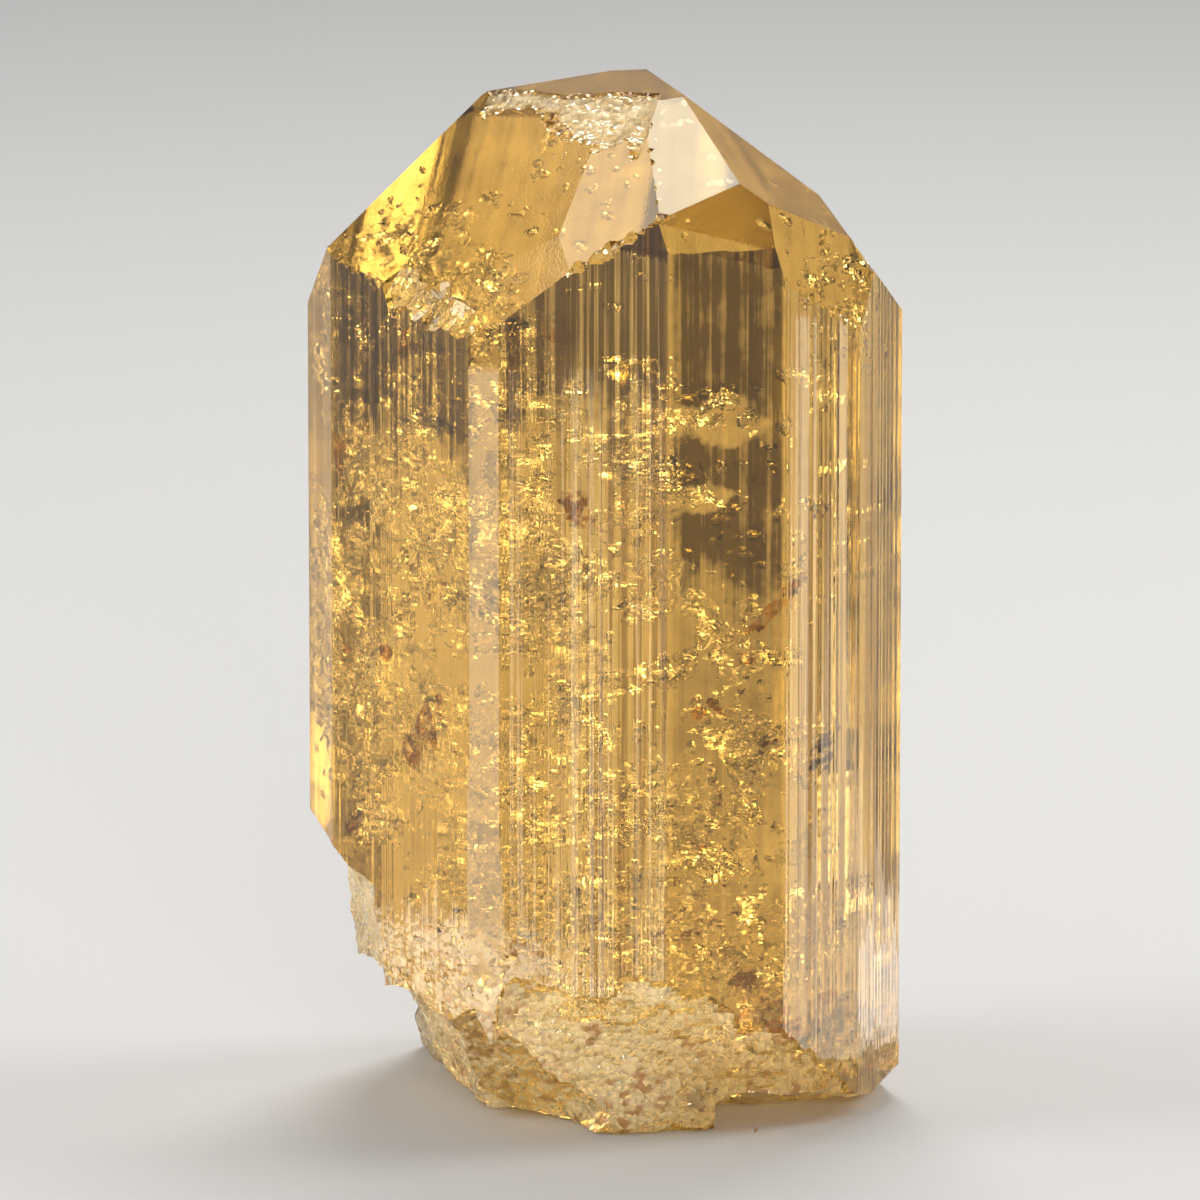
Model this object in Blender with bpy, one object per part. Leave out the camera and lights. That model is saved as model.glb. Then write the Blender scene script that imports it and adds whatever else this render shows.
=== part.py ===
"""A topaz crystal: one striated prism with a faceted top and a broken foot."""

import math
import random

import bmesh
import bpy
from mathutils import Matrix, Vector, noise

MM = 0.001  # sizes below are in millimetres, and one scaling at the end makes them metres

PRISM_LENGTH = 52.0  # before the top faces and the foot are cut

# Half of the outline, from the left end round the front; the back half is the same turned by 180 degrees.
# Each face: degrees that it looks to the right of the front, width, grooves, groove depth.
PRISM_FACES = {
    "left_edge": (-71.6, 3.56, 2, 0.02),
    "left_broad": (-52.9, 10.21, 14, 0.07),
    "left_mirror": (-25.0, 1.59, 1, 0.02),
    "front_striated": (2.9, 7.43, 15, 0.09),
    "front_smooth": (21.6, 5.61, 2, 0.02),
    "right_banded": (45.0, 4.77, 6, 0.10),
    "right_edge": (65.0, 4.58, 8, 0.06),
}
CORNER = 0.08  # width of the small flat that stands between two prism faces

# Each top face: degrees that it looks to the right of the front, tilt from level, distance from the origin.
TOP_FACES = {
    "summit": (-63.0, 7.3, 45.89),
    "left_pyramid": (-43.7, 44.5, 34.73),
    "front_pyramid": (-34.4, 43.3, 35.66),
    "front_tip": (-40.5, 47.2, 33.79),
    "white_dome": (-4.9, 35.7, 40.19),
    "front_steep": (21.7, 84.2, 15.01),
    "right_steep": (49.9, 81.3, 17.42),
    "right_pyramid": (75.0, 41.1, 37.97),
    "right_back_pyramid": (103.8, 37.6, 38.25),
    "right_shoulder": (97.0, 54.4, 31.67),
    "back_right_pyramid": (168.0, 44.0, 34.90),
    "back_left_pyramid": (-158.0, 38.0, 37.74),
    "left_back_pyramid": (-120.0, 53.9, 31.00),
    "left_corner": (-95.0, 75.0, 22.35),
}

# Each break: a point on it, degrees to the right of the front, tilt from level, roll, width, length, cell,
# height of its lumps, height of its steps.
BREAKS = {
    "rim_left": ((-2.2, -2.8, 44.90), -35.0, 29.0, 0.0, 9.5, 6.0, 0.27, 0.24, 0.30),
    "rim_right": ((0.5, -5.5, 45.05), -14.0, 31.0, 0.0, 3.3, 5.0, 0.27, 0.24, 0.35),
    "shoulder": ((12.2, -2.6, 37.7), 88.0, 52.0, 0.0, 5.0, 5.5, 0.42, 0.22, 0.45),
    "left_overhang": ((-12.5, 0.0, 11.9), -86.0, 137.0, 0.0, 16.0, 3.6, 0.60, 0.25, 0.40),
    "left_flap": ((-10.7, 0.0, 8.1), -82.0, 97.0, 0.0, 24.0, 6.4, 0.60, 0.45, 0.60),
    "left_foot": ((-8.1, 0.0, 4.2), -78.0, 122.0, 0.0, 24.0, 6.2, 0.60, 0.45, 0.70),
    "left_heel": ((-6.6, 0.0, 1.0), -76.0, 113.0, 0.0, 24.0, 4.4, 0.60, 0.30, 0.40),
    "front_foot": ((0.7, -9.4, 4.2), 5.0, 110.0, 0.0, 12.0, 12.5, 0.50, 0.38, 0.45),
    "front_undercut": ((-4.4, -7.0, 2.85), -17.0, 133.0, -50.0, 8.6, 6.0, 0.45, 0.22, 0.35),
    "left_underside": ((-4.4, -4.9, 0.42), -30.0, 166.0, 0.0, 8.6, 6.5, 0.50, 0.18, 0.25),
    "right_ledge": ((8.6, -7.4, 3.2), 24.0, 116.0, -4.0, 9.0, 4.6, 0.50, 0.28, 0.45),
    "right_underside": ((9.3, -4.2, 0.75), 8.0, 163.0, 0.0, 9.6, 8.4, 0.55, 0.22, 0.25),
    "right_corner": ((12.7, -1.6, 1.1), 78.0, 128.0, 0.0, 9.0, 4.5, 0.50, 0.20, 0.30),
    "back_foot": ((6.5, 7.8, 1.4), 150.0, 128.0, 0.0, 13.0, 6.5, 0.70, 0.35, 0.50),
}
BREAK_DEPTH = 9.0  # how far outwards a break's cutter reaches
LUMP_SIZE = 2.6
GRAIN_SIZE = 0.9
GRAIN_SHARE = 0.35  # height of the grains beside that of the lumps


def facing(azimuth, tilt):
    """Unit vector that looks azimuth degrees right of the front and is tilted from straight up."""
    turn, lean = math.radians(azimuth), math.radians(tilt)
    return Vector((math.sin(turn) * math.sin(lean), -math.cos(turn) * math.sin(lean), math.cos(lean)))


def clear_scene():
    for item in list(bpy.data.objects):
        bpy.data.objects.remove(item, do_unlink=True)


def new_collection(name):
    collection = bpy.data.collections.new(name)
    bpy.context.scene.collection.children.link(collection)
    return collection


def face_points(start, azimuth, width, grooves, depth, dice):
    """Outline points of one prism face, with grooves across it, leaving out its end corner."""
    turn = math.radians(azimuth)
    along = Vector((math.cos(turn), math.sin(turn)))
    inward = Vector((-math.sin(turn), math.cos(turn)))
    points = [start + along * CORNER]
    pitch = (width - 2 * CORNER) / max(grooves, 1)
    for groove in range(grooves):
        left = CORNER + groove * pitch
        valley = left + pitch * dice.uniform(0.25, 0.45)
        crest = left + pitch * dice.uniform(0.6, 0.9)
        points.append(start + along * valley + inward * depth * dice.uniform(0.4, 1.0))
        points.append(start + along * crest + inward * depth * dice.uniform(0.0, 0.25))
    points.append(start + along * (width - CORNER))
    return points, start + along * width


def prism_outline():
    dice = random.Random(11)
    corner = Vector((0.0, 0.0))
    front = []
    for azimuth, width, grooves, depth in PRISM_FACES.values():
        points, corner = face_points(corner, azimuth, width, grooves, depth, dice)
        front += points
    centre = corner / 2
    back = []
    for azimuth, width, grooves, depth in PRISM_FACES.values():
        points, corner = face_points(corner, azimuth + 180.0, width, grooves, depth, dice)
        back += points
    return [point - centre for point in front + back]


def make_prism(collection):
    outline = prism_outline()
    curve = bpy.data.curves.new("prism_outline", "CURVE")
    curve.dimensions = "2D"
    curve.fill_mode = "BOTH"
    curve.extrude = PRISM_LENGTH / 2
    spline = curve.splines.new("POLY")
    spline.points.add(len(outline) - 1)
    for spot, point in zip(spline.points, outline):
        spot.co = (point.x, point.y, 0.0, 1.0)
    spline.use_cyclic_u = True
    guide = bpy.data.objects.new("prism_guide", curve)
    collection.objects.link(guide)
    bpy.context.view_layer.update()
    graph = bpy.context.evaluated_depsgraph_get()
    mesh = bpy.data.meshes.new_from_object(guide.evaluated_get(graph))
    bpy.data.objects.remove(guide, do_unlink=True)
    mesh.transform(Matrix.Translation((0.0, 0.0, PRISM_LENGTH / 2 - 1.0)))
    crystal = bpy.data.objects.new("crystal", mesh)
    collection.objects.link(crystal)
    shape = bmesh.new()
    shape.from_mesh(mesh)
    bmesh.ops.remove_doubles(shape, verts=shape.verts, dist=0.001)
    bmesh.ops.recalc_face_normals(shape, faces=shape.faces)
    shape.to_mesh(mesh)
    shape.free()
    return crystal


def cut_flat(shape, point, normal):
    """Removes what lies beyond the plane and closes the cut with one flat face."""
    everything = shape.verts[:] + shape.edges[:] + shape.faces[:]
    cut = bmesh.ops.bisect_plane(
        shape, geom=everything, dist=0.0001, plane_co=point, plane_no=normal, clear_outer=True
    )
    rim = [item for item in cut["geom_cut"] if isinstance(item, bmesh.types.BMEdge)]
    if rim:
        bmesh.ops.holes_fill(shape, edges=rim, sides=0)


def cut_top(crystal):
    shape = bmesh.new()
    shape.from_mesh(crystal.data)
    for azimuth, tilt, distance in TOP_FACES.values():
        normal = facing(azimuth, tilt)
        cut_flat(shape, normal * distance, normal)
    shape.to_mesh(crystal.data)
    shape.free()


def stepped(value, levels):
    """Rounds a smooth height to ledges that are joined by short steep risers."""
    scaled = value * levels
    floor = math.floor(scaled)
    part = scaled - floor
    riser = min(max((part - 0.35) / 0.3, 0.0), 1.0)
    return (floor + riser * riser * (3 - 2 * riser)) / levels


def break_height(spot, lumps, steps):
    smooth = noise.noise(spot / LUMP_SIZE)
    grain = noise.noise(spot / GRAIN_SIZE + Vector((7.3, 1.9, 4.1)))
    ledge = stepped(noise.noise(spot / (2.2 * LUMP_SIZE) + Vector((2.7, 8.1, 3.3))), 4)
    return lumps * (smooth + GRAIN_SHARE * grain) + steps * ledge


def make_break(name, collection, point, azimuth, tilt, roll, width, length, cell, lumps, steps):
    """A slab whose inner side is a rough surface, to be cut from the crystal."""
    normal = facing(azimuth, tilt)
    turn = math.radians(azimuth)
    across = Vector((math.cos(turn), math.sin(turn), 0.0))
    down = normal.cross(across)
    frame = Matrix((across, down, normal)).transposed().to_4x4() @ Matrix.Rotation(math.radians(roll), 4, "Z")
    frame.translation = Vector(point)
    shape = bmesh.new()
    bmesh.ops.create_grid(
        shape,
        x_segments=max(round(width / cell), 2),
        y_segments=max(round(length / cell), 2),
        size=0.5,
        matrix=Matrix.Diagonal((width, length, 1.0, 1.0)),
    )
    for vertex in shape.verts:
        spot = frame @ vertex.co
        edge = max(abs(vertex.co.x) / width, abs(vertex.co.y) / length) * 2
        lift = max(edge - 0.7, 0.0) / 0.3  # the cutter's rim curls outwards, so that a break fades out
        vertex.co.z += break_height(spot, lumps, steps) + lift * lift * (lumps + steps)
    top = bmesh.ops.extrude_face_region(shape, geom=shape.faces[:])
    raised = [item for item in top["geom"] if isinstance(item, bmesh.types.BMVert)]
    bmesh.ops.translate(shape, verts=raised, vec=(0.0, 0.0, BREAK_DEPTH))
    bmesh.ops.recalc_face_normals(shape, faces=shape.faces)
    bmesh.ops.transform(shape, matrix=frame, verts=shape.verts)
    mesh = bpy.data.meshes.new(name)
    shape.to_mesh(mesh)
    shape.free()
    cutter = bpy.data.objects.new(name, mesh)
    cutter.hide_render = True
    cutter.display_type = "WIRE"
    collection.objects.link(cutter)
    return cutter


def cut_breaks(crystal, collection):
    for name, sizes in BREAKS.items():
        cut = crystal.modifiers.new(name, "BOOLEAN")
        cut.operation = "DIFFERENCE"
        cut.solver = "EXACT"
        cut.object = make_break(name, collection, *sizes)


def apply_modifiers(crystal):
    bpy.context.view_layer.update()
    graph = bpy.context.evaluated_depsgraph_get()
    mesh = bpy.data.meshes.new_from_object(crystal.evaluated_get(graph))
    crystal.modifiers.clear()
    crystal.data = mesh


def largest_body(shape):
    """Removes every loose chip, so that one body is left."""
    left = set(shape.faces)
    bodies = []
    while left:
        body = set()
        open_faces = [left.pop()]
        while open_faces:
            face = open_faces.pop()
            body.add(face)
            for edge in face.edges:
                for beside in edge.link_faces:
                    if beside in left:
                        left.remove(beside)
                        open_faces.append(beside)
        bodies.append(body)
    bodies.sort(key=len)
    for body in bodies[:-1]:
        bmesh.ops.delete(shape, geom=list(body), context="FACES")


def finish_shape(crystal):
    shape = bmesh.new()
    shape.from_mesh(crystal.data)
    cut_flat(shape, Vector((0.0, 0.0, 0.0)), Vector((0.0, 0.0, -1.0)))
    bmesh.ops.remove_doubles(shape, verts=shape.verts, dist=0.004)
    bmesh.ops.dissolve_degenerate(shape, dist=0.004, edges=shape.edges)
    largest_body(shape)
    bmesh.ops.triangulate(shape, faces=shape.faces)
    bmesh.ops.recalc_face_normals(shape, faces=shape.faces)
    shape.to_mesh(crystal.data)
    shape.free()
    crystal.data.transform(Matrix.Scale(MM, 4))


def amber_glass():
    material = bpy.data.materials.new("golden_topaz")
    material.use_nodes = True
    surface = material.node_tree.nodes["Principled BSDF"]
    surface.inputs["Base Color"].default_value = (0.80, 0.50, 0.16, 1.0)
    surface.inputs["Roughness"].default_value = 0.05
    surface.inputs["Metallic"].default_value = 0.0
    surface.inputs["IOR"].default_value = 1.62
    surface.inputs["Transmission Weight"].default_value = 0.9
    return material


def main():
    clear_scene()
    parts = new_collection("topaz_crystal")
    cutters = new_collection("cutters")
    cutters.hide_render = True
    crystal = make_prism(parts)
    cut_top(crystal)
    cut_breaks(crystal, cutters)
    apply_modifiers(crystal)
    finish_shape(crystal)
    crystal.data.materials.clear()
    crystal.data.materials.append(amber_glass())
    for cutter in cutters.objects:
        cutter.data.transform(Matrix.Scale(MM, 4))


main()
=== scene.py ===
import math
import random

import bpy
from mathutils import Matrix, Vector, noise


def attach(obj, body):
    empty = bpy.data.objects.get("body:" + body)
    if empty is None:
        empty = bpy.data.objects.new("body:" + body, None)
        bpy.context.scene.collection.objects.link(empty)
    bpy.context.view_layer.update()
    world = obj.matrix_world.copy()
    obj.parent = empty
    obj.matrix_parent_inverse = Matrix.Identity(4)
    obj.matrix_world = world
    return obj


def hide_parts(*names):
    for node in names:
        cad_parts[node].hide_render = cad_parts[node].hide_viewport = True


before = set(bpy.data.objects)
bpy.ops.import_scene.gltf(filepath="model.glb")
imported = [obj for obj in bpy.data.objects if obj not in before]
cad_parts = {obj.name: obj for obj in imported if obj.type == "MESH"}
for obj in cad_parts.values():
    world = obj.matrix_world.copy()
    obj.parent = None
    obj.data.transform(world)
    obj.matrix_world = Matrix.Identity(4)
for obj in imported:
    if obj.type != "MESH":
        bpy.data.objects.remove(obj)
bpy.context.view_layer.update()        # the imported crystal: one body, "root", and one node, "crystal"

mm = 0.001  # pieces are modelled in millimetres and scaled once they are finished


# Small helpers


def deselectAll():
    bpy.ops.object.select_all(action="DESELECT")


def pick(thing, *others):
    deselectAll()
    for item in (thing, *others):
        item.select_set(True)
    bpy.context.view_layer.objects.active = thing


def editAll():
    bpy.ops.object.mode_set(mode="EDIT")
    bpy.ops.mesh.select_all(action="SELECT")


def objectMode():
    bpy.ops.object.mode_set(mode="OBJECT")


def copied(thing):  # a copy with a mesh of its own
    twin = thing.copy()
    twin.data = thing.data.copy()
    bpy.context.scene.collection.objects.link(twin)
    return twin


def share(value):  # kept from 0 to 1
    return min(max(value, 0.0), 1.0)


def facing(azimuth, tilt):  # a direction from degrees right of the front and degrees from straight up
    turn, lean = math.radians(azimuth), math.radians(tilt)
    return Vector((math.sin(turn) * math.sin(lean), -math.cos(turn) * math.sin(lean), math.cos(lean)))


def standing(point, azimuth, tilt, roll):  # a frame at a point: X runs to the right and Z looks outwards
    normal = facing(azimuth, tilt)
    turn = math.radians(azimuth)
    side = Vector((math.cos(turn), math.sin(turn), 0.0))
    stand = Matrix((side, normal.cross(side), normal)).transposed().to_4x4()
    stand = stand @ Matrix.Rotation(math.radians(roll), 4, "Z")
    stand.translation = Vector(point)
    return stand


# Shader maths


def mixSocket(node, name):  # the Mix node's sockets share their names, so the ones in use are picked
    return next(socket for socket in node.inputs if socket.name == name and socket.enabled)


class Wire:
    def __init__(self, tree, socket=None):
        self.tree = tree
        self.socket = socket

    def make(self, kind, settings=None, sockets=None, out=0):  # any node: settings first, then sockets
        node = self.tree.nodes.new(kind)
        mixing = kind == "ShaderNodeMix"
        for name, value in (settings or {}).items():
            setattr(node, name, value)
        for name, value in (sockets or {}).items():
            target = mixSocket(node, name) if mixing else node.inputs[name]
            if isinstance(value, Wire):
                self.tree.links.new(value.socket, target)
            else:
                target.default_value = value
        if mixing:
            return Wire(self.tree, next(socket for socket in node.outputs if socket.enabled))
        return Wire(self.tree, node.outputs[out])

    def maths(self, operation, *values):
        return self.make("ShaderNodeMath", {"operation": operation}, dict(enumerate(values)))

    def __add__(self, other):
        return self.maths("ADD", self, other)

    __radd__ = __add__

    def __sub__(self, other):
        return self.maths("SUBTRACT", self, other)

    def __rsub__(self, other):
        return self.maths("SUBTRACT", other, self)

    def __mul__(self, other):
        return self.maths("MULTIPLY", self, other)

    __rmul__ = __mul__

    def __pow__(self, other):
        return self.maths("POWER", self, other)

    def larger(self, other):
        return self.maths("MAXIMUM", self, other)

    def ridged(self):  # how far a noise is from its middle, which gives it sharp creases
        return self.maths("ABSOLUTE", self - 0.5)

    def clipped(self, low, high):  # 0 at low, 1 at high
        return self.make(
            "ShaderNodeMapRange",
            {"clamp": True},
            {"Value": self, "From Min": low, "From Max": high, "To Min": 0.0, "To Max": 1.0},
        )

    def between(self, low, high, fadeIn, fadeOut):  # 1 from low to high, fading inside them
        return (self - low).clipped(0.0, fadeIn) * (high - self).clipped(0.0, fadeOut)


def newMaterial(name):
    material = bpy.data.materials.new(name)
    material.use_nodes = True
    tree = material.node_tree
    surface = tree.nodes["Principled BSDF"]
    place = Wire(tree).make("ShaderNodeTexCoord", out=3)  # Object coordinates
    return material, tree, surface, place


def setSockets(tree, node, values):
    for name, value in values.items():
        if isinstance(value, Wire):
            tree.links.new(value.socket, node.inputs[name])
        else:
            node.inputs[name].default_value = value


# The crystal's outside

body = {
    # degrees right of the front, width, narrowest and widest groove, steepest side of a groove in degrees
    "faces": (
        (-71.6, 3.56, 0.90, 1.60, 2.0),
        (-52.9, 10.21, 0.14, 0.60, 7.0),
        (-25.0, 1.59, 0.50, 0.80, 1.2),
        (2.9, 7.43, 0.10, 0.42, 6.0),
        (21.6, 5.61, 0.90, 2.20, 1.5),
        (45.0, 4.77, 0.22, 0.95, 13.0),
        (65.0, 4.58, 0.12, 0.55, 13.0),
    ),
    "fineness": 1.6,  # the higher, the more of the grooves are narrow
    "valley": (0.2, 0.8),  # where in a groove its deepest line may lie
    "slopes": (0.15, 1.0),  # least and most share of the steepest side
    "corner": 0.06,
    "length": 52.0,
    "below": 1.0,  # how far the uncut prism reaches below the foot
    "merge": 0.0001,
    # degrees right of the front, tilt from level, distance from the origin
    "top": (
        (-63.0, 7.3, 45.89),
        (-43.7, 44.5, 34.73),
        (-34.4, 43.3, 35.66),
        (-40.5, 47.2, 33.79),
        (-4.9, 35.7, 40.19),
        (21.7, 84.2, 15.01),
        (49.9, 81.3, 17.42),
        (75.0, 41.1, 37.97),
        (103.8, 37.6, 38.25),
        (97.0, 54.4, 31.67),
        (168.0, 44.0, 34.90),
        (-158.0, 38.0, 37.74),
        (-120.0, 53.9, 31.00),
        (-95.0, 75.0, 22.35),
    ),
}


def faceGrooves(width, narrow, wide, slope, dice):  # (place along the face, depth) of each groove's points
    spots = []
    place = body["corner"]
    last = width - body["corner"]
    while place < last - narrow:
        pitch = min(narrow * (wide / narrow) ** (dice.random() ** body["fineness"]), last - place)
        valley = dice.uniform(*body["valley"])
        steep = math.tan(math.radians(slope * dice.uniform(*body["slopes"])))
        spots.append((place + pitch * valley, pitch * min(valley, 1 - valley) * steep))
        spots.append((place + pitch, 0.0))
        place += pitch
    return spots[:-1]


def prismOutline():
    dice = random.Random(5)
    corner = Vector((0.0, 0.0))
    outline = []
    for turned in (0.0, 180.0):
        for azimuth, width, narrow, wide, slope in body["faces"]:
            turn = math.radians(azimuth + turned)
            along = Vector((math.cos(turn), math.sin(turn)))
            inward = Vector((-math.sin(turn), math.cos(turn)))
            outline.append(corner + along * body["corner"])
            for place, depth in faceGrooves(width, narrow, wide, slope, dice):
                outline.append(corner + along * place + inward * depth)
            outline.append(corner + along * (width - body["corner"]))
            corner = corner + along * width
        if not turned:
            half = corner / 2
    return [point - half for point in outline], half


def planes():  # every flat face as (direction it looks in, distance from the origin)
    found = [(facing(azimuth, tilt), distance) for azimuth, tilt, distance in body["top"]]
    corner = -prismOutline()[1]
    for turned in (0.0, 180.0):
        for azimuth, width, *_ in body["faces"]:
            turn = math.radians(azimuth + turned)
            normal = facing(azimuth + turned, 90.0)
            found.append((normal, normal.x * corner.x + normal.y * corner.y))
            corner = corner + Vector((math.cos(turn), math.sin(turn))) * width
    return found


def makePrism():
    outline = prismOutline()[0]
    count = len(outline)
    deselectAll()
    bpy.ops.mesh.primitive_cylinder_add(
        vertices=count, radius=10.0, depth=body["length"], end_fill_type="NGON",
        location=(0.0, 0.0, body["length"] / 2 - body["below"]),
    )
    crystal = bpy.context.object
    crystal.name = "crystalBody"
    bpy.ops.object.transform_apply(location=True)
    for vertex in crystal.data.vertices:  # the round outline becomes the grooved one
        angle = math.atan2(vertex.co.x, vertex.co.y)
        point = outline[(count - round(angle / math.tau * count)) % count]
        vertex.co.x, vertex.co.y = point
    editAll()
    bpy.ops.mesh.normals_make_consistent(inside=False)
    for azimuth, tilt, distance in body["top"]:
        normal = facing(azimuth, tilt)
        bpy.ops.mesh.select_all(action="SELECT")
        bpy.ops.mesh.bisect(
            plane_co=normal * distance, plane_no=normal, use_fill=True, clear_outer=True,
            threshold=body["merge"],
        )
    objectMode()
    return crystal


# The broken places

breaks = {
    # a point, degrees right of the front, tilt from level, roll, width, length, lumps, steps
    "rimLeft": ((-2.2, -2.8, 44.90), -35.0, 29.0, 0.0, 9.5, 6.0, 0.24, 0.30),
    "rimFar": ((-4.6, -1.1, 44.85), -42.0, 27.0, 0.0, 3.4, 3.2, 0.22, 0.25),
    "rimRight": ((0.5, -5.5, 45.05), -14.0, 31.0, 0.0, 3.3, 5.0, 0.24, 0.35),
    "shoulder": ((12.2, -2.6, 37.7), 88.0, 52.0, 0.0, 5.0, 5.5, 0.34, 0.85),
    "leftOverhang": ((-12.5, 0.0, 11.9), -86.0, 137.0, 0.0, 16.0, 3.6, 0.25, 0.40),
    "leftFlap": ((-10.7, 0.0, 8.1), -82.0, 97.0, 0.0, 24.0, 6.4, 0.45, 0.60),
    "leftFoot": ((-8.1, 0.0, 4.2), -78.0, 122.0, 0.0, 24.0, 6.2, 0.45, 0.70),
    "leftHeel": ((-6.6, 0.0, 1.0), -76.0, 113.0, 0.0, 24.0, 4.4, 0.30, 0.40),
    "frontFoot": ((0.7, -9.4, 4.2), 5.0, 110.0, 0.0, 12.0, 12.5, 0.44, 0.60),
    "frontUndercut": ((-4.4, -7.0, 2.85), -17.0, 133.0, -50.0, 8.6, 6.0, 0.22, 0.35),
    "leftUnderside": ((-4.4, -4.9, 0.42), -30.0, 166.0, 0.0, 8.6, 6.5, 0.18, 0.25),
    "rightLedge": ((8.6, -7.4, 3.2), 24.0, 116.0, -4.0, 9.0, 4.6, 0.28, 0.45),
    "rightUnderside": ((9.3, -4.2, 0.75), 8.0, 163.0, 0.0, 9.6, 8.4, 0.22, 0.25),
    "rightCorner": ((12.7, -1.6, 1.1), 78.0, 128.0, 0.0, 9.0, 4.5, 0.20, 0.30),
    "backFoot": ((6.5, 7.8, 1.4), 150.0, 128.0, 0.0, 13.0, 6.5, 0.35, 0.50),
}
breakGrain = {
    "cell": 0.24,  # of the cutter's grid
    "rimCell": 0.14,
    "depth": 9.0,  # how far the cutter reaches outwards
    "curlFrom": 0.7,  # past this share of its half-width the cutter curls outwards, and the break fades out
    "curl": 0.3,
    "lump": 2.6,
    "grain": 0.9,
    "grainShare": 0.35,
    "ledge": 2.2,  # in lumps
    "ledges": 4,
    "tread": 0.35,  # the flat share of a ledge before its riser, and the riser's own share
    "riser": 0.3,
    "fine": 0.10,
}


def stepped(value, levels):  # a smooth height turned into ledges with short steep risers
    scaled = value * levels
    floor = math.floor(scaled)
    riser = share((scaled - floor - breakGrain["tread"]) / breakGrain["riser"])
    return (floor + riser * riser * (3 - 2 * riser)) / levels


def breakHeight(spot, lumps, steps):
    smooth = noise.noise(spot / breakGrain["lump"])
    grain = noise.noise(spot / breakGrain["grain"] + Vector((7.3, 1.9, 4.1)))
    shelf = noise.noise(spot / (breakGrain["ledge"] * breakGrain["lump"]) + Vector((2.7, 8.1, 3.3)))
    ledge = stepped(shelf, breakGrain["ledges"])
    fine = noise.noise(spot * 2.7) + 0.6 * noise.noise(spot * 6.1)
    return lumps * (smooth + breakGrain["grainShare"] * grain) + steps * ledge + breakGrain["fine"] * fine


def makeBreak(name, point, azimuth, tilt, roll, width, length, lumps, steps):
    cell = breakGrain["rimCell" if name.startswith("rim") else "cell"]
    deselectAll()
    bpy.ops.mesh.primitive_grid_add(
        x_subdivisions=round(width / cell), y_subdivisions=round(length / cell), size=1.0
    )
    cutter = bpy.context.object
    stand = standing(point, azimuth, tilt, roll)
    for vertex in cutter.data.vertices:
        vertex.co.x *= width
        vertex.co.y *= length
        edge = max(abs(vertex.co.x) / width, abs(vertex.co.y) / length) * 2
        lift = max(edge - breakGrain["curlFrom"], 0.0) / breakGrain["curl"]
        vertex.co.z = breakHeight(stand @ vertex.co, lumps, steps) + lift * lift * (lumps + steps)
    editAll()
    bpy.ops.mesh.extrude_region_move(TRANSFORM_OT_translate={"value": (0.0, 0.0, breakGrain["depth"])})
    bpy.ops.mesh.select_all(action="SELECT")
    bpy.ops.mesh.normals_make_consistent(inside=False)
    objectMode()
    cutter.data.transform(stand)
    return cutter


def cutAway(crystal, cutter, crossing=False):  # crossing: the cutter's parts cross each other
    pick(crystal)
    cut = crystal.modifiers.new("cut", "BOOLEAN")
    cut.operation = "DIFFERENCE"
    cut.solver = "EXACT"
    cut.use_self = crossing
    cut.object = cutter
    bpy.ops.object.modifier_apply(modifier=cut.name)
    bpy.data.objects.remove(cutter, do_unlink=True)


def breakFoot(crystal):
    for name, sizes in breaks.items():
        cutAway(crystal, makeBreak(name, *sizes))
    chipEdges(crystal)
    pick(crystal)
    editAll()
    bpy.ops.mesh.bisect(
        plane_co=(0.0, 0.0, 0.0), plane_no=(0.0, 0.0, -1.0), use_fill=True, clear_outer=True,
        threshold=body["merge"],
    )
    bpy.ops.mesh.select_all(action="SELECT")
    bpy.ops.mesh.remove_doubles(threshold=0.002)
    objectMode()


# Small chips along the edges between the top and the prism faces

chips = {
    # top face, prism or top face, from and to (millimetres right of the middle), how many, smallest
    # and largest radius
    "leftPyramid": ((-43.7, 44.5, 34.73), (-52.9, 90.0, None), -12.3, -7.6, 16, 0.16, 0.45),
    "leftPyramidLow": ((-43.7, 44.5, 34.73), (-52.9, 90.0, None), -9.6, -6.1, 20, 0.45, 1.20),
    "frontTip": ((-40.5, 47.2, 33.79), (-25.0, 90.0, None), -6.0, -4.6, 6, 0.14, 0.35),
    "frontPyramid": ((-34.4, 43.3, 35.66), (2.9, 90.0, None), -4.6, 2.8, 26, 0.14, 0.50),
    "whiteDome": ((-34.4, 43.3, 35.66), (-4.9, 35.7, 40.19), 1.2, 2.6, 12, 0.16, 0.40),
    "summitLeft": ((-63.0, 7.3, 45.89), (-43.7, 44.5, 34.73), -5.6, 0.6, 26, 0.18, 0.55),
    "steepRight": ((49.9, 81.3, 17.42), (45.0, 90.0, None), 8.6, 11.2, 10, 0.12, 0.34),
}


chipping = {
    "out": (0.35, 0.75),  # radii outwards from the edge
    "sizes": ((0.7, 1.5), (0.7, 1.3), (0.7, 1.4)),
    "lumps": (0.5, 1.3),  # depth, and how many to a radius
    "grain": (0.12, 4),
}


def edgePoint(first, second, across):  # where two faces meet, at a distance to the right
    rows = Matrix((facing(*first[:2]), facing(*second[:2]), (1.0, 0.0, 0.0)))
    return rows.inverted() @ Vector((first[2], second[2], across))


def prismDistance(azimuth):
    normal = facing(azimuth, 90.0)
    return next(distance for face, distance in planes() if face.dot(normal) > 0.99999)


def roughBall(ball, place, dice):  # a lumpy ball cut in where two faces meet
    deepest, lumps = chipping["lumps"]
    least, grains = chipping["grain"]
    size = Matrix.Diagonal(tuple(dice.uniform(*span) for span in chipping["sizes"]) + (1.0,))
    chip = copied(ball)
    for vertex in chip.data.vertices:
        lump = deepest * noise.noise(vertex.co * lumps + place)
        vertex.co *= 1 + lump + least * noise.noise(vertex.co * grains + place)
    return chip, size


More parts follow.
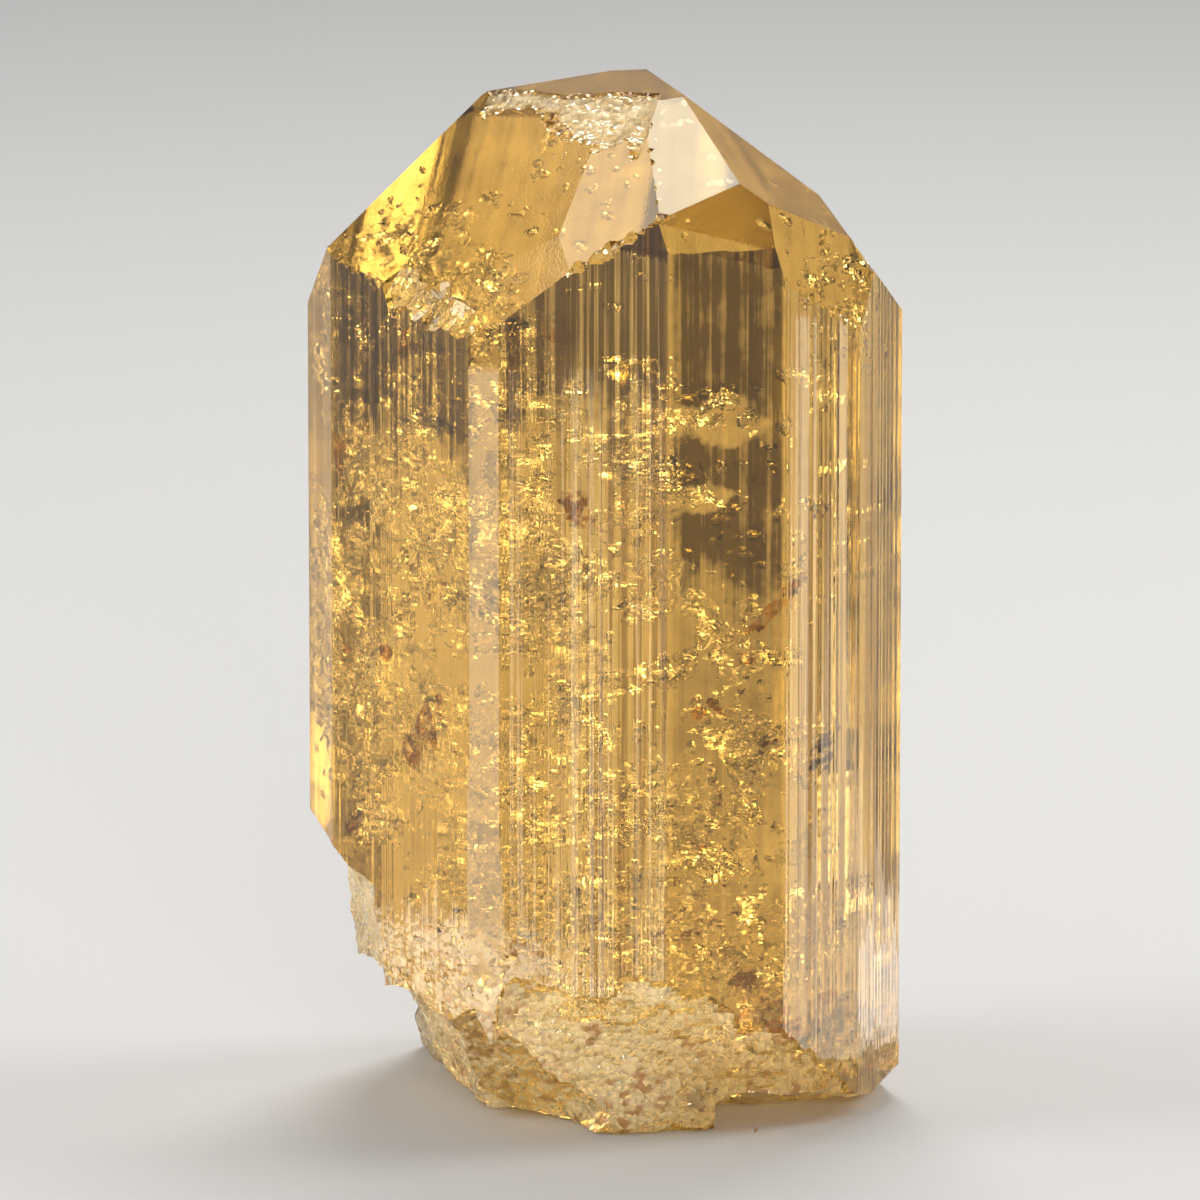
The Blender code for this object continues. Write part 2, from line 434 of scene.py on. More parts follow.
def chipEdges(crystal):
    dice = random.Random(4)
    deselectAll()
    bpy.ops.mesh.primitive_ico_sphere_add(subdivisions=2, radius=1.0)
    ball = bpy.context.object
    made = []
    for upper, lower, start, end, count, small, large in chips.values():
        if lower[2] is None:
            lower = (lower[0], lower[1], prismDistance(lower[0]))
        outward = (facing(*upper[:2]) + facing(*lower[:2])).normalized()
        for spot in range(count):
            radius = small * (large / small) ** dice.random()
            place = edgePoint(upper, lower, start + (end - start) * (spot + dice.random()) / count)
            place += outward * radius * dice.uniform(*chipping["out"])
            chip, size = roughBall(ball, place, dice)
            turn = Matrix.Rotation(dice.uniform(0.0, math.tau), 4, outward)
            chip.data.transform(Matrix.Translation(place) @ turn @ size @ Matrix.Scale(radius, 4))
            made.append(chip)
    bpy.data.objects.remove(ball, do_unlink=True)
    pick(made[0], *made)
    bpy.ops.object.join()
    cutAway(crystal, bpy.context.object, True)


# What the glass is told about each face

marking = {
    "flat": 0.10,  # nearest distance from a crystal face that counts as broken, and how far it fades in
    "fade": 0.06,
    "smooth": 0.13,  # further away than this the shading is smooth
    "smoothAngle": 35.0,
    "undercut": 0.66,  # a break that looks down as steeply as this is clean
    "undercutFade": 0.16,
    "foot": 14,  # the sugary breaks lie below the first height and above the second
    "rim": 42,
    "rimShare": 0.8,
    "elsewhere": 0.25,
    # the face that mirrors the top lamp; its see-through is greyed as a painted reflection
    "mirrorFace": (-4.9, 35.7),
}


def markFaces(crystal):
    pick(crystal)
    bpy.ops.object.shade_smooth_by_angle(angle=math.radians(marking["smoothAngle"]))
    flats = planes() + [(Vector((0.0, 0.0, -1.0)), 0.0)]
    mirrorFace = facing(*marking["mirrorFace"])
    marks = {"broken": [], "sugary": [], "prism": [], "dome": []}
    for face in crystal.data.polygons:
        away = min(abs(normal.dot(face.center) - distance) for normal, distance in flats)
        broken = share((away - marking["flat"]) / marking["fade"])
        overhang = share((face.normal.z + marking["undercut"]) / marking["undercutFade"])
        crushed = marking["elsewhere"]
        if face.center.z < marking["foot"]:
            crushed = 1.0
        elif face.center.z > marking["rim"]:
            crushed = marking["rimShare"]
        flat = away < marking["flat"]
        marks["broken"].append(broken)
        marks["sugary"].append(broken * overhang * crushed)
        marks["prism"].append(1.0 if abs(face.normal.z) < 0.02 and flat else 0.0)
        marks["dome"].append(1.0 if face.normal.dot(mirrorFace) > 0.9995 and flat else 0.0)
        face.use_smooth = away > marking["smooth"]
    for name, values in marks.items():
        crystal.data.attributes.new(name, "FLOAT", "FACE").data.foreach_set("value", values)


# Cracks, veils and small flat bubbles: thin voids inside the one glass

voids = {
    "thickness": 0.03,
    "margin": 0.16,  # of clear glass outside them
    "cell": 0.22,
    "grids": (8, 12, 15, 19, 24),  # cells across each grid that the sheets are copied from
    "flashGrid": 15,
    "smoothAngle": 38.0,
    "slimness": (0.5, 0.9),  # length over width
}
crackZones = {
    # centre, half-size, how many, smallest and largest crack, degrees right of the front, spread, lean,
    # spread, crumple
    "upperLeft": ((-7.0, -1.5, 29.5), (4.6, 5.0, 7.0), 42, 2.2, 6.5, -35.0, 50.0, 66.0, 30.0, 1.0),
    "middleLeft": ((-7.0, -1.5, 18.5), (4.6, 5.0, 6.0), 40, 2.2, 6.5, -35.0, 50.0, 66.0, 30.0, 1.0),
    "middle": ((-0.8, -4.0, 27.0), (3.6, 4.6, 7.0), 38, 2.0, 5.5, 0.0, 45.0, 66.0, 30.0, 1.0),
    "lowerMiddle": ((-0.8, -4.0, 14.0), (3.6, 4.6, 6.0), 24, 2.0, 5.5, 0.0, 45.0, 66.0, 30.0, 1.0),
    "right": ((5.5, -3.0, 24.0), (2.6, 4.4, 8.0), 14, 1.6, 4.2, 20.0, 45.0, 66.0, 30.0, 1.0),
    "lowerRight": ((5.0, -3.0, 12.0), (4.4, 4.4, 5.4), 26, 2.0, 5.0, 20.0, 45.0, 66.0, 30.0, 1.0),
    "top": ((-4.0, 0.5, 38.5), (3.5, 3.0, 2.2), 4, 1.6, 3.0, -40.0, 40.0, 70.0, 25.0, 0.8),
    "foot": ((-1.0, -2.0, 8.0), (7.0, 5.0, 3.4), 26, 2.0, 5.0, 0.0, 60.0, 62.0, 30.0, 1.0),
    "footVeil": ((-5.0, -6.6, 8.0), (4.6, 2.6, 3.6), 70, 0.7, 1.9, -20.0, 70.0, 60.0, 35.0, 1.0),
    "leftSkin": ((-8.6, -5.0, 23.0), (2.8, 2.2, 12.0), 40, 0.7, 1.8, -50.0, 50.0, 60.0, 35.0, 1.0),
    "middleSkin": ((-0.9, -8.6, 21.0), (3.6, 0.9, 12.0), 40, 0.7, 1.8, 3.0, 50.0, 60.0, 35.0, 1.0),
    "rightSkin": ((5.4, -7.4, 19.0), (2.5, 1.4, 14.0), 44, 0.6, 1.7, 20.0, 50.0, 60.0, 35.0, 1.0),
    "brightVeil": ((5.0, -7.5, 32.9), (1.7, 0.5, 0.8), 14, 0.6, 1.6, 20.0, 60.0, 58.0, 30.0, 1.0),
    "topVeil": ((-6.0, -1.0, 38.4), (3.0, 2.2, 2.2), 20, 0.6, 1.7, -40.0, 60.0, 60.0, 35.0, 1.0),
    "shoulderVeil": ((9.2, -2.6, 36.0), (2.2, 2.0, 2.8), 26, 0.8, 2.2, 70.0, 50.0, 55.0, 35.0, 1.0),
}
flashes = {
    # place, degrees right of the front, lean, roll, width, length, crumple
    "rightVeil": ((4.8, -7.9, 33.3), 24.0, 40.0, 20.0, 3.4, 2.2, 0.8),
    "bandFlake": ((9.0, -6.4, 28.2), 45.0, 40.0, 0.0, 2.6, 1.3, 0.3),
    "middleFlash": ((-2.0, -8.6, 33.2), 3.0, 32.0, 80.0, 2.2, 0.9, 0.3),
    "middleFlashLow": ((-1.6, -8.2, 31.6), 3.0, 34.0, 60.0, 1.8, 1.2, 0.6),
    "arc": ((-3.6, -9.5, 16.0), 3.0, 38.0, 0.0, 2.8, 1.4, 0.3),
    "mirrorFlash": ((-4.6, -9.4, 23.8), -12.0, 33.0, 10.0, 2.0, 1.8, 0.5),
    "middleShine": ((-3.4, -9.3, 24.0), 0.0, 33.0, 20.0, 2.6, 1.8, 0.6),
    "leftFlash": ((-6.4, -7.2, 28.9), -31.0, 32.0, 40.0, 2.6, 1.8, 0.5),
    "leftFlashHigh": ((-7.6, -5.2, 30.0), -31.0, 33.0, -20.0, 2.4, 1.6, 0.6),
    "edgeFlash": ((-11.9, -0.6, 34.6), -45.0, 33.0, 0.0, 1.2, 1.6, 0.4),
    "edgeFlashLow": ((-10.8, -2.6, 24.0), -35.0, 33.0, 30.0, 1.6, 2.2, 0.6),
    "topSparkle": ((-6.2, -2.6, 40.2), -20.0, 35.0, 30.0, 1.6, 1.0, 0.8),
    "topSparkleLow": ((-8.4, -1.9, 39.0), -20.0, 35.0, 0.0, 1.4, 0.9, 0.8),
    "footShine": ((1.4, -9.3, 8.2), 5.0, 34.0, 0.0, 2.2, 1.4, 0.6),
    "rightShine": ((4.6, -7.6, 22.6), 17.0, 36.0, 10.0, 3.2, 1.8, 0.8),
    "rightShineLow": ((5.4, -7.4, 13.8), 17.0, 36.0, -20.0, 3.2, 2.0, 0.8),
}


crumpling = {
    # depth and size of each
    "broadBowls": (0.55, 1.9),
    "fineBowls": (0.95, 0.8),
    "waves": (0.45, 1.2),
    "bend": (0.9, 4.0),
    "rim": 0.78,  # how far the sheet reaches, of its half-width
    "rimLobes": (0.55, 1.3),
    "rimTeeth": (0.25, 0.4),
}


def deleteChosen(piece):  # deletes the vertices whose select flag is set
    for face in piece.data.polygons:
        face.select = False
    for edge in piece.data.edges:
        edge.select = False
    bpy.ops.object.mode_set(mode="EDIT")
    bpy.ops.mesh.delete(type="VERT")
    objectMode()


def scallops(spot, size):  # shallow bowls that meet in sharp ridges
    near = noise.voronoi(spot / size)[0][0]
    return size * near * near


def crumple(spot, strength):
    broad, broadSize = crumpling["broadBowls"]
    fine, fineSize = crumpling["fineBowls"]
    wave, waveSize = crumpling["waves"]
    bowls = broad * scallops(spot, broadSize) + fine * scallops(spot + Vector((3.1, 5.7, 1.3)), fineSize)
    return strength * (bowls + wave * noise.noise(spot / waveSize))


def placeSheet(sheet, centre, azimuth, tilt, roll, width, length, strength, shift):  # from a flat unit grid
    lobe, lobeSize = crumpling["rimLobes"]
    tooth, toothSize = crumpling["rimTeeth"]
    bend, bendSize = crumpling["bend"]
    stand = standing(centre, azimuth, tilt, roll)
    for vertex in sheet.data.vertices:
        reach = vertex.co.length * 2
        flat = Vector((vertex.co.x * width, vertex.co.y * length, 0.0))
        ragged = crumpling["rim"] + lobe * noise.noise(flat / lobeSize + shift)
        ragged += tooth * noise.noise(flat / toothSize + shift)
        flat.z = crumple(flat + shift, strength) + bend * noise.noise(flat / bendSize + shift)
        vertex.co = stand @ flat
        vertex.select = reach > ragged


def unitGrid(cells):
    deselectAll()
    bpy.ops.mesh.primitive_grid_add(x_subdivisions=cells, y_subdivisions=cells, size=1.0)
    return bpy.context.object


def tooShallow(crystal, place, margin):  # whether a place isn't deep enough inside the crystal
    near, outward = crystal.closest_point_on_mesh(place)[1:3]
    return (near - place).dot(outward) < margin


def closeSheets(crystal, sheets, thickness):  # joins open sheets, trims them inside the crystal, closes them
    pick(sheets[0], *sheets)
    bpy.ops.object.join()
    joined = bpy.context.object
    for vertex in joined.data.vertices:
        if tooShallow(crystal, vertex.co, voids["margin"]):
            vertex.select = True
    deleteChosen(joined)
    shell = joined.modifiers.new("shell", "SOLIDIFY")
    shell.thickness = thickness
    shell.offset = 0.0
    bpy.ops.object.modifier_apply(modifier=shell.name)
    bpy.ops.object.shade_smooth_by_angle(angle=math.radians(voids["smoothAngle"]))
    return joined


def within(centre, size, dice):  # a place in a box
    return Vector([middle + half * dice.uniform(-1.0, 1.0) for middle, half in zip(centre, size)])


def makeCracks(crystal):
    dice = random.Random(21)
    grids = {cells: unitGrid(cells) for cells in voids["grids"]}
    cracks = []
    for centre, size, count, small, large, azimuth, spread, lean, sway, strength in crackZones.values():
        for spot in range(count):
            place = within(centre, size, dice)
            width = dice.uniform(small, large)
            length = width * dice.uniform(*voids["slimness"])
            cells = min(grids, key=lambda number: abs(number - (width + length) / 2 / voids["cell"]))
            crack = copied(grids[cells])
            shift = Vector((13.7, 7.1, 3.3)) * (len(cracks) + 1)
            placeSheet(
                crack, place, azimuth + dice.uniform(-spread, spread), lean + dice.uniform(-sway, sway),
                dice.uniform(-90.0, 90.0), width, length, strength, shift,
            )
            cracks.append(crack)
    for place, azimuth, lean, roll, width, length, strength in flashes.values():
        crack = copied(grids[voids["flashGrid"]])
        shift = Vector((13.7, 7.1, 3.3)) * (len(cracks) + 1)
        placeSheet(crack, place, azimuth, lean, roll, width, length, strength, shift)
        cracks.append(crack)
    for grid in grids.values():
        bpy.data.objects.remove(grid, do_unlink=True)
    return closeSheets(crystal, cracks, voids["thickness"])


bubbles = {
    "cluster": 36,  # in one cluster
    "clusters": 34,
    "small": 0.10,
    "large": 0.50,
    "fineness": 1.5,  # the higher, the more of the bubbles are small
    "slimness": (0.4, 0.9),
    "flat": 0.10,
    "lean": 0.6,
    "spread": (2.6, 2.6, 0.7),
    "scales": (0.6, 1.3),
    "steeper": 20.0,  # than the cracks
}


def makeCluster():  # flat bubbles spread along a plane, as a healed crack leaves them
    dice = random.Random(8)
    made = []
    for spot in range(bubbles["cluster"]):
        deselectAll()
        bpy.ops.mesh.primitive_ico_sphere_add(subdivisions=1, radius=1.0)
        bubble = bpy.context.object
        place = Vector([half * dice.uniform(-1.0, 1.0) for half in bubbles["spread"]])
        growth = dice.random() ** bubbles["fineness"]
        broad = bubbles["small"] * (bubbles["large"] / bubbles["small"]) ** growth
        tip = dice.gauss(0.0, bubbles["lean"])
        lean = Matrix.Rotation(tip, 4, Vector((dice.gauss(0, 1), dice.gauss(0, 1), 0.0)))
        turn = Matrix.Rotation(dice.uniform(0.0, math.tau), 4, "Z")
        slim = broad * dice.uniform(*bubbles["slimness"])
        size = Matrix.Diagonal((broad, slim, broad * bubbles["flat"], 1.0))
        bubble.data.transform(Matrix.Translation(place) @ lean @ turn @ size)
        made.append(bubble)
    pick(made[0], *made)
    bpy.ops.object.join()
    bpy.ops.object.shade_smooth()
    return bpy.context.object


def makeBubbles(crystal):
    dice = random.Random(17)
    first = makeCluster()
    corners = len(first.data.vertices) // bubbles["cluster"]
    zones = list(crackZones.values())
    shares = [zone[2] for zone in zones]
    made = []
    for spot in range(bubbles["clusters"]):
        zone = dice.choices(zones, shares)[0]
        azimuth, spread, lean, sway = zone[5:9]
        place = within(zone[0], zone[1], dice)
        aside = azimuth + dice.uniform(-spread, spread)
        normal = facing(aside, lean + bubbles["steeper"] + dice.uniform(-sway, sway))
        turn = normal.to_track_quat("Z", "Y").to_matrix().to_4x4()
        turn = turn @ Matrix.Rotation(dice.uniform(0, 6), 4, "Z")
        cluster = copied(first)
        size = Matrix.Scale(dice.uniform(*bubbles["scales"]), 4)
        cluster.data.transform(Matrix.Translation(place) @ turn @ size)
        made.append(cluster)
    bpy.data.objects.remove(first, do_unlink=True)
    pick(made[0], *made)
    bpy.ops.object.join()
    cloud = bpy.context.object
    points = cloud.data.vertices
    for start in range(0, len(points), corners):
        centre = sum((points[start + spot].co for spot in range(corners)), Vector()) / corners
        gone = tooShallow(crystal, centre, voids["margin"] + bubbles["large"])
        for spot in range(corners):
            points[start + spot].select = gone
    deleteChosen(cloud)
    return cloud


def joinVoids(crystal, cracks, cloud):  # their faces look into the voids, so the glass ends there
    pick(cracks, cloud)
    bpy.ops.object.join()
    inner = bpy.context.object
    editAll()
    bpy.ops.mesh.normals_make_consistent(inside=True)
    objectMode()
    inner.data.materials.append(crackGlass())
    print("void triangles", sum(len(face.vertices) - 2 for face in inner.data.polygons))
    pick(crystal, inner)
    bpy.ops.object.join()


# Rusty and black stains: thin closed sheets just inside the surface

stains = {
    # place, degrees right of the front, width, length, roll, how dark from 0 to 1
    "cavity": ((-1.6, -9.4, 29.1), 3.0, 2.0, 1.7, 20.0, 0.9),
    "cavityEdge": ((-1.2, -9.2, 28.5), 3.0, 1.6, 1.0, -20.0, 0.5),
    "cluster": ((-7.4, -6.9, 18.2), -53.0, 2.4, 3.2, 0.0, 0.6),
    "clusterLeft": ((-7.9, -5.8, 17.3), -53.0, 1.8, 2.2, 40.0, 0.8),
    "clusterTop": ((-6.8, -8.0, 19.3), -53.0, 1.2, 1.8, 10.0, 0.5),
    "patch": ((-10.7, -2.9, 13.0), -53.0, 1.7, 3.2, -20.0, 0.7),
    "leftSpot": ((-9.3, -4.7, 21.2), -53.0, 1.2, 1.4, 0.0, 0.4),
    "leftWash": ((-11.2, -2.4, 20.8), -60.0, 1.6, 3.4, 10.0, 0.1),
    "leftWashHigh": ((-11.4, -2.2, 29.8), -60.0, 1.4, 3.0, -10.0, 0.1),
    "pit": ((-9.7, -4.9, 15.4), -53.0, 0.5, 0.8, 0.0, 1.0),
    "bit": ((5.9, -7.4, 21.8), 22.0, 1.3, 0.8, 0.0, 0.9),
    "veinLow": ((3.6, -8.3, 19.3), 22.0, 2.2, 0.8, 20.0, 0.4),
    "veinMiddle": ((4.6, -7.5, 19.7), 22.0, 2.0, 0.8, -25.0, 0.5),
    "veinRise": ((6.9, -7.0, 23.6), 22.0, 3.0, 1.0, 45.0, 0.4),
    "veinHigh": ((7.9, -6.9, 24.9), 45.0, 1.6, 0.9, 30.0, 0.4),
    "speck": ((4.1, -8.6, 13.3), 22.0, 0.9, 0.6, 0.0, 0.9),
    "topStreak": ((-2.1, -8.0, 36.6), 3.0, 2.4, 1.4, 0.0, 0.1),
    "leftStreak": ((-7.6, -4.1, 35.6), -53.0, 1.2, 2.8, 0.0, 0.3),
    "footVein": ((7.6, -7.0, 4.7), 30.0, 5.4, 1.6, -4.0, 0.3),
    "footVeinHigh": ((9.4, -6.0, 5.6), 40.0, 2.6, 1.0, 10.0, 0.4),
    "footBlotch": ((4.2, -7.2, 1.5), 20.0, 2.4, 1.6, 0.0, 0.8),
}


film = {
    "cells": 14,
    "tilt": 84.0,
    "crumple": 0.5,
    "thickness": 0.02,
    "brown": (0.85, 0.56, 0.16, 1.0),
    "black": (0.34, 0.19, 0.05, 1.0),
    "cloud": (0.43, 0.55),  # where in the noise the film begins and is whole
    "depth": (0.40, 0.60),  # where it turns from brown to black
}


def makeStains(crystal):
    sheets = []
    for place, azimuth, width, length, roll, dark in stains.values():
        sheet = unitGrid(film["cells"])
        shift = Vector((3.0, 5.0, 7.0)) * len(sheets)
        placeSheet(sheet, place, azimuth, film["tilt"], roll, width, length, film["crumple"], shift)
        shade = sheet.data.attributes.new("dark", "FLOAT", "FACE")
        shade.data.foreach_set("value", [dark] * len(sheet.data.polygons))
        sheets.append(sheet)
    joined = closeSheets(crystal, sheets, film["thickness"])
    joined.name = "rustyStains"
    return joined


# Materials

topaz = {
    "ior": 1.62,
    "tint": (0.97, 0.565, 0.13, 1.0),
    # painted shade colour of the dark zones
    "shadeOlive": (0.042, 0.018, 0.001, 1.0),
    "sheen": (1.0, 0.93, 0.78, 1.0),
    "brown": (0.22, 0.10, 0.02, 1.0),
    "pale": (1.0, 0.82, 0.50, 1.0),
    "rust": (0.35, 0.12, 0.02, 1.0),
    "crumb": (1.0, 0.83, 0.52, 1.0),
    # painted glow and painted highlight colours
    "glowOrange": (1.0, 0.52, 0.08, 1.0),
    "highlightHoney": (1.0, 0.70, 0.26, 1.0),
    # grey for the painted reflection on the face that mirrors the top lamp
    "mirrorGrey": (0.30, 0.28, 0.24, 1.0),
    "clear": (1.0, 1.0, 1.0, 1.0),
    "absorbs": (0.95, 0.90, 0.60, 1.0),
    "density": 36.0,
    "bump": 0.00003,
    # where the front face, the face right of it and the narrow face left of it lie, in millimetres
    "frontFace": (-4.7, 2.9),
    "rightFace": (2.9, 8.0),
    "leftStrip": (-6.1, -4.55),
    # heights in millimetres over which the painted shade zones fade in
    "leftDusk": (30.4, 32.6),
    "frontShadeFade": (32.4, 34.6),
    "rightShadeFade": (21.5, 27.0),
    "faintShadeFade": (10.0, 16.0),
    # gaps in the right painted shade, where the veils behind show bright: place across and up, reach across
    # and up
    "shadeGaps": ((5.0, 32.9, 2.0, 1.1), (4.0, 29.3, 1.7, 0.7)),
}


def mixed(wire, factor, first, second):
    return wire.make("ShaderNodeMix", {"data_type": "RGBA"}, {"Factor": factor, "A": first, "B": second})


def attribute(tree, name):
    return Wire(tree).make("ShaderNodeAttribute", {"attribute_name": name}, out=2)


def stretched(place, scale, **settings):
    turned = place.make("ShaderNodeMapping", {}, {"Vector": place, "Scale": scale})
    return place.make("ShaderNodeTexNoise", {}, {"Vector": turned, "Scale": 1.0, **settings})


def noiseOver(place, scale, **settings):
    return place.make("ShaderNodeTexNoise", {}, {"Vector": place, "Scale": scale, **settings})


def paintedShadeZones(across, up, ragged, mottle, lines):  # painted shade: dark olive zones high on the left, front and right front faces
    left = (across * -1).clipped(5.6, 6.2) * (up + ragged).clipped(*topaz["leftDusk"])
    left = left * lines.clipped(0.30, 0.50)
    middle = across.between(*topaz["frontFace"], 0.3, 0.3) * (up + ragged).clipped(*topaz["frontShadeFade"])
    middle = middle * (lines * 0.9 + 0.1).clipped(0.40, 0.56)
    fibrous = (mottle * 0.5 + lines * 0.7).clipped(0.38, 0.62)
    faint = (up + ragged).clipped(*topaz["faintShadeFade"]) * 0.50
    right = across.between(*topaz["rightFace"], 0.2, 0.2) * fibrous
    right = right * faint.larger((up + ragged).clipped(*topaz["rightShadeFade"]))
    paintedShade = left.larger(middle).larger(right)
    for middleX, middleZ, reachX, reachZ in topaz["shadeGaps"]:
        away = ((across - middleX) * (1 / reachX)) ** 2.0 + ((up - middleZ) * (1 / reachZ)) ** 2.0
        paintedShade = paintedShade * (away + (mottle - 0.5) * 5).clipped(0.5, 1.1)
    return paintedShade


def paintedShadeStreaks(across, deep, up, ragged, mottle, lines, front, grooved):  # painted shade: brown streaks on grooved faces, and darker strips at the back and on the front faces, standing in for the dark seen through the crystal
    shadeBehind = (mottle * 0.5 + lines * 0.7).clipped(0.52, 0.80) * deep.clipped(4.0, 7.0)
    shadeStrip = across.between(*topaz["leftStrip"], 0.1, 0.1) * front * 0.5
    inner = across.between(topaz["frontFace"][0], topaz["rightFace"][1], 0.3, 0.2) * front * 0.24
    edge = (across - 11.4).clipped(0.0, 0.5) * (up - 24.0 + ragged * 0.3).clipped(0.0, 1.0)
    edge = edge * (29.5 - up + ragged * 0.3).clipped(0.0, 1.0) * mottle.clipped(0.44, 0.56) * 0.8
    shadeStreaks = lines.clipped(0.48, 0.56) * front * grooved * 0.9
    return shadeStreaks.larger(shadeStrip + inner).larger(edge).larger(shadeBehind)


def topazGlass():
    material, tree, surface, place = newMaterial("goldenTopaz")
    broken, sugary, prism, dome = (attribute(tree, name) for name in ("broken", "sugary", "prism", "dome"))
    across, deep, up = (
        place.make("ShaderNodeSeparateXYZ", {}, {"Vector": place}, out=axis) * 1000 for axis in range(3)
    )
    grooves = stretched(place, (9000.0, 9000.0, 90.0), Detail=2.0, Roughness=0.6)
    lines = stretched(place, (2400.0, 2400.0, 26.0), Detail=3.0, Roughness=0.75)
    mottle = noiseOver(place, 420.0, Detail=3.0, Roughness=0.68)
    grains = place.make("ShaderNodeTexVoronoi", {}, {"Vector": place, "Scale": 2900.0})
    each = Wire(tree, grains.socket.node.outputs["Color"]) + 0.0  # one number for each grain
    front = prism * (deep * -1).clipped(1.5, 3.0)
    ragged = (mottle - 0.5) * 11 + (lines - 0.5) * 9
    grooved = across.between(-2.9, topaz["frontFace"][1], 1.5, 0.2) + (across - 8.2).clipped(0.0, 0.5)
    # painted shade: brown streaks and strips standing in for the dark seen through the crystal
    shadeStreaks = paintedShadeStreaks(across, deep, up, ragged, mottle, lines, front, grooved)
    # painted shade: dark olive zones high on the front faces
    paintedShade = paintedShadeZones(across, up, ragged, mottle, lines) * front
    highlightHoney = (0.52 - lines).clipped(0.0, 0.10) * front * grooved * 0.7  # painted highlight: paler lines on the grooved faces
    low = (10.5 - up).clipped(0.0, 4.0) * (-0.5 - across).clipped(0.0, 3.0)  # low on the left
    worn = (sugary + broken * 0.03).larger(prism * low * 0.4)
    paintedGlow = (7.0 - up + ragged * 0.5).clipped(0.0, 4.0) * (across - 1.5).clipped(0.0, 3.0)  # painted orange glow, low on the right
    rusty = (each * 0.20 + mottle * 0.80).clipped(0.55, 0.62) * (9.0 - up).clipped(0.0, 3.0) * 0.85
    # darker brown mottle on the top faces, above 33 mm
    darkerTopMottle = (1 - prism) * (1 - broken - dome) * (up - 33.0).clipped(0.0, 1.0) * mottle.clipped(0.38, 0.62)
    tint = mixed(place, shadeStreaks, topaz["tint"], topaz["brown"])
    # the brown streaks, shade olive, honey lines, grey mirror face and orange glow are painted light; the
    # top mottle, pale crust and rust are the stone's own
    for mask, colour in (
        (darkerTopMottle * 0.18, "brown"),
        (highlightHoney, "highlightHoney"),
        (sugary * 0.6, "pale"),
        # painted reflection: the face that mirrors the top lamp is greyed, so it reads white
        (dome * 0.8, "mirrorGrey"),
        (paintedShade, "shadeOlive"),
        (paintedGlow * 0.7, "glowOrange"),
        (rusty, "rust"),
    ):
        tint = mixed(place, mask, tint, topaz[colour])
    height = grooves * 0.12 * (1 - worn) - grains * grains * worn * 3.6
    bump = place.make("ShaderNodeBump", {}, {"Strength": 1.0, "Distance": topaz["bump"], "Height": height})
    setSockets(tree, surface, {
        "Base Color": tint,
        "Roughness": sugary * (each * 0.5 + mottle * 0.5).clipped(0.40, 0.62) * 0.40 + broken * 0.02,
        "IOR": topaz["ior"],
        "Specular Tint": topaz["sheen"],
        "Transmission Weight": 1.0,
        "Normal": bump,
    })
    # the sugary crust of the broken places: crushed grains that scatter the light
    crumbs = sugary * (each * 0.3 + mottle * 1.2).clipped(0.46, 0.95) * 0.38
    crumbs = crumbs + dome * (each - 0.8).clipped(0.0, 0.05) * 0.3
    # the pale haze low on the left is the stone's own frost; low on the right it follows the painted glow,
    # as does the crust's honey tint
    haze = prism * low.larger(paintedGlow * 0.4) * (each * 0.4 + mottle * 0.7).clipped(0.46, 0.72) * 0.50
    grit = mixed(place, paintedGlow * 0.8, topaz["crumb"], topaz["highlightHoney"])
    crust = place.make("ShaderNodeBsdfPrincipled")
    setSockets(tree, crust.socket.node, {
        "Base Color": mixed(place, rusty, grit, topaz["rust"]),
        "Roughness": 0.55,
        "Normal": bump,
    })
    both = place.make("ShaderNodeMixShader", {}, {0: crumbs.larger(haze)})
    tree.links.new(surface.outputs[0], both.socket.node.inputs[1])
    tree.links.new(crust.socket, both.socket.node.inputs[2])
    tree.links.new(both.socket, tree.nodes["Material Output"].inputs["Surface"])
    soak = Wire(tree).make(
        "ShaderNodeVolumeAbsorption", {}, {"Color": topaz["absorbs"], "Density": topaz["density"]}
    )
    tree.links.new(soak.socket, tree.nodes["Material Output"].inputs["Volume"])
    return material


def crackGlass():  # the same glass where it ends at a void: no tint, and scalloped in the fine
    material, tree, surface, place = newMaterial("crackedTopaz")
    fold = noiseOver(place, 2100.0, Detail=1.0).ridged()
    height = fold * 12.0
    bump = place.make("ShaderNodeBump", {}, {"Strength": 0.5, "Distance": topaz["bump"], "Height": height})
    setSockets(tree, surface, {
        "Base Color": topaz["clear"],
        "Roughness": 0.0,
        "IOR": topaz["ior"],
        "Transmission Weight": 1.0,
        "Normal": bump,
    })
    return material


def rust():  # a film of iron stain: it colours the light and doesn't bend it
    material, tree, surface, place = newMaterial("rust")
    dark = attribute(tree, "dark")
    cloud = noiseOver(place, 1700.0, Detail=4.0, Roughness=0.7)
    depth = noiseOver(place, 1100.0, Detail=2.0) + dark * 0.5 - 0.25
    colour = mixed(place, depth.clipped(*film["depth"]), film["brown"], film["black"])
    setSockets(tree, surface, {
        "Base Color": colour,
        "Roughness": 0.0,
        "IOR": 1.0,
        "Transmission Weight": 1.0,
        "Alpha": cloud.clipped(*film["cloud"]),
    })
    return material


# Finishing a piece


def finishPiece(piece, material=None):
    pick(piece)
    piece.data.transform(Matrix.Scale(mm, 4))
    if material:
        piece.data.materials.append(material)
    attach(piece, "root")


# Studio

